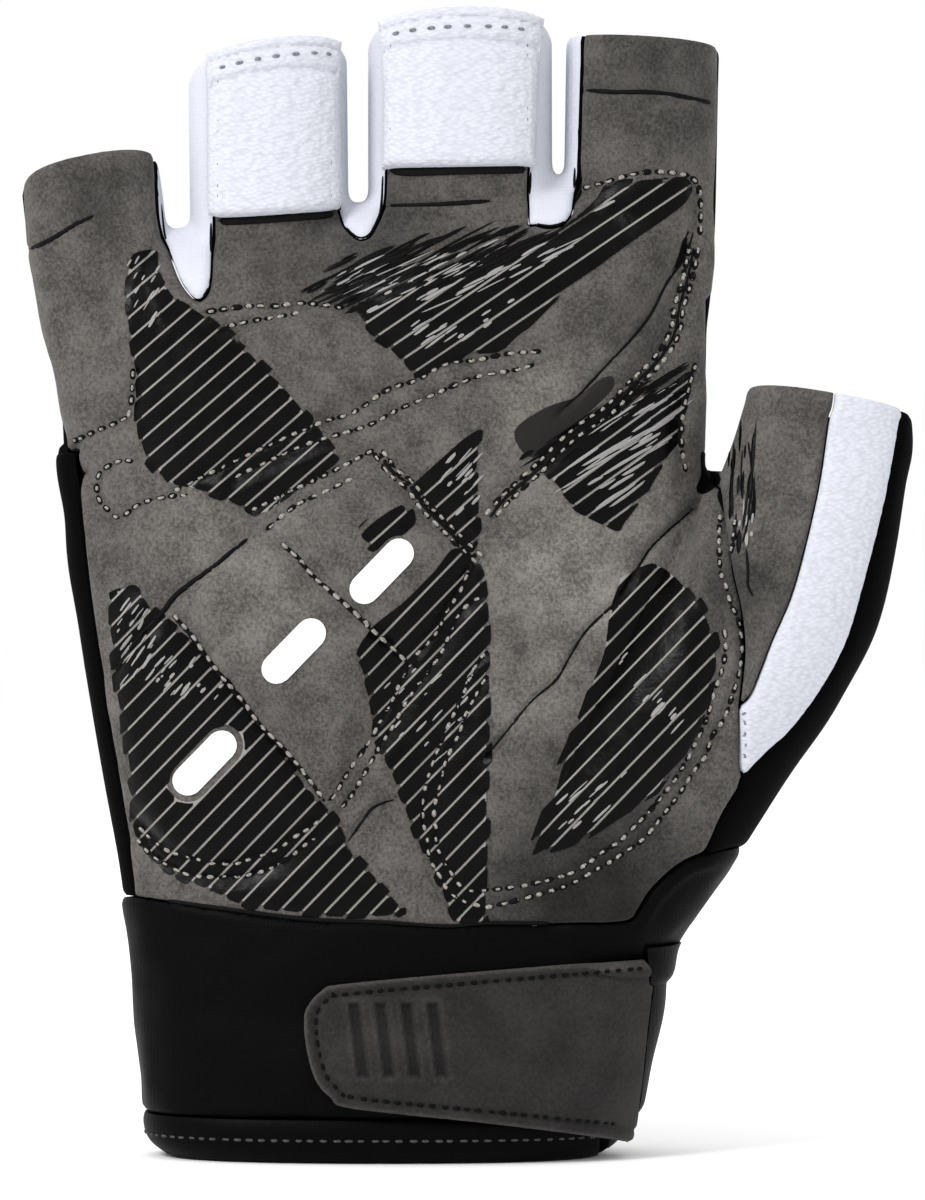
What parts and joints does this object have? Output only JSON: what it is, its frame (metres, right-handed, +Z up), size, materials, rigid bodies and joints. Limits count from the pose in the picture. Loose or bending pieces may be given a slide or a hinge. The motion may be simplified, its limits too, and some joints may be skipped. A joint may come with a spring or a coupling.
{
  "type": "cycling glove",
  "caption": "Right-hand short-finger cycling glove, filled out as when worn: padded grey suede palm, black back and cuff, white finger webs and pull tabs, wrist strap.",
  "frame": {"origin": "centre of the wrist opening, in the plane of the cuff's lower edge", "axes": "+Z up from the cuff along the fingers, +X to the thumb side, -Y out of the palm"},
  "size_m": [0.1246, 0.0401, 0.1601],
  "materials": {
    "suede": "napped grey synthetic suede",
    "stretch_cloth": "matt black knitted stretch cloth",
    "white_cloth": "fine white knitted stretch cloth",
    "towelling": "white towelling with a fine raised loop",
    "cuff_foam": "black cloth-faced foam, faint sheen",
    "strap_suede": "dark grey synthetic suede, cut edge"
  },
  "bodies": {
    "root": {"palm_panel": "suede", "back_panel": "stretch_cloth", "web_pinky_ring": "white_cloth", "web_ring_middle": "white_cloth", "web_middle_index": "white_cloth", "pull_tab_ring": "towelling", "pull_tab_middle": "towelling", "thumb_panel": "suede", "thumb_wipe": "towelling", "cuff_band": "cuff_foam", "cuff_hem": "cuff_foam", "strap_band": "cuff_foam", "strap_tab": "strap_suede"}
  },
  "joints": []
}
